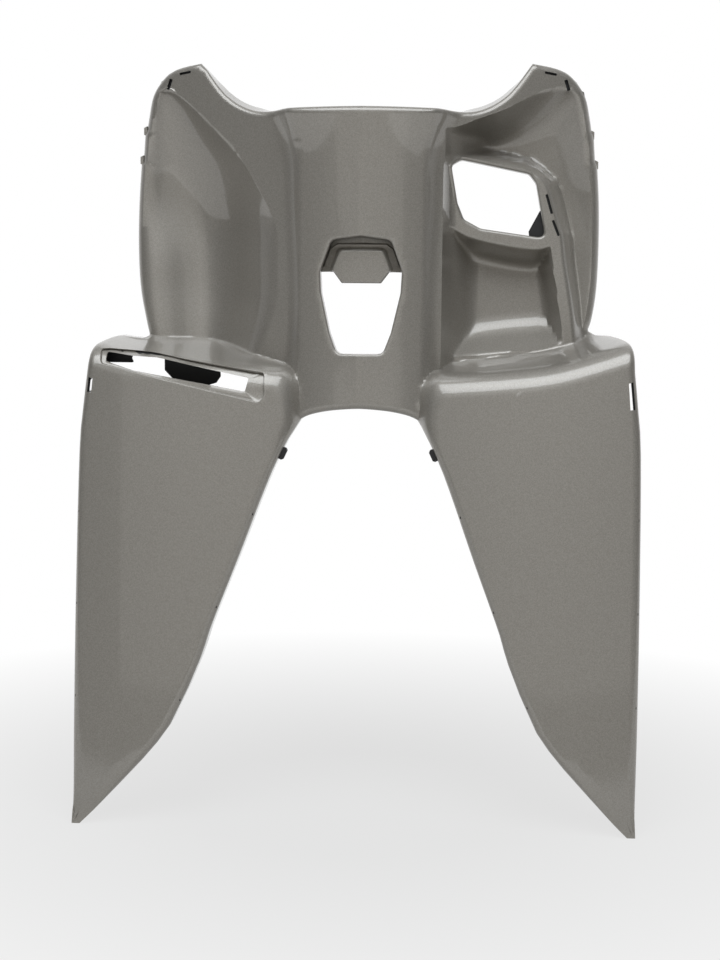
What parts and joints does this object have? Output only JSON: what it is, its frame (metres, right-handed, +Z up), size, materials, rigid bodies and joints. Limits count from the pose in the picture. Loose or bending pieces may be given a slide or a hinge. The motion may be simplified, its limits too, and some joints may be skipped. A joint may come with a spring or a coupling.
{
  "type": "scooter leg shield",
  "caption": "Moulded inner leg shield of a scooter: crowned column with a lock opening, hollow knee lobes, a pocket opening and long pointed wings.",
  "frame": {"origin": "mouth of the upper screw boss behind the steering column, on the panel's middle plane", "axes": "+X to the right as the rider looks at the panel, +Y forwards, away from the rider, +Z up; upright as mounted"},
  "size_m": [0.494, 0.1957, 0.6688],
  "materials": {
    "painted_panel": "pearl taupe-grey metallic lacquer on the rider's side, bare black plastic behind"
  },
  "bodies": {
    "root": {"leg_shield": "painted_panel"}
  },
  "joints": []
}
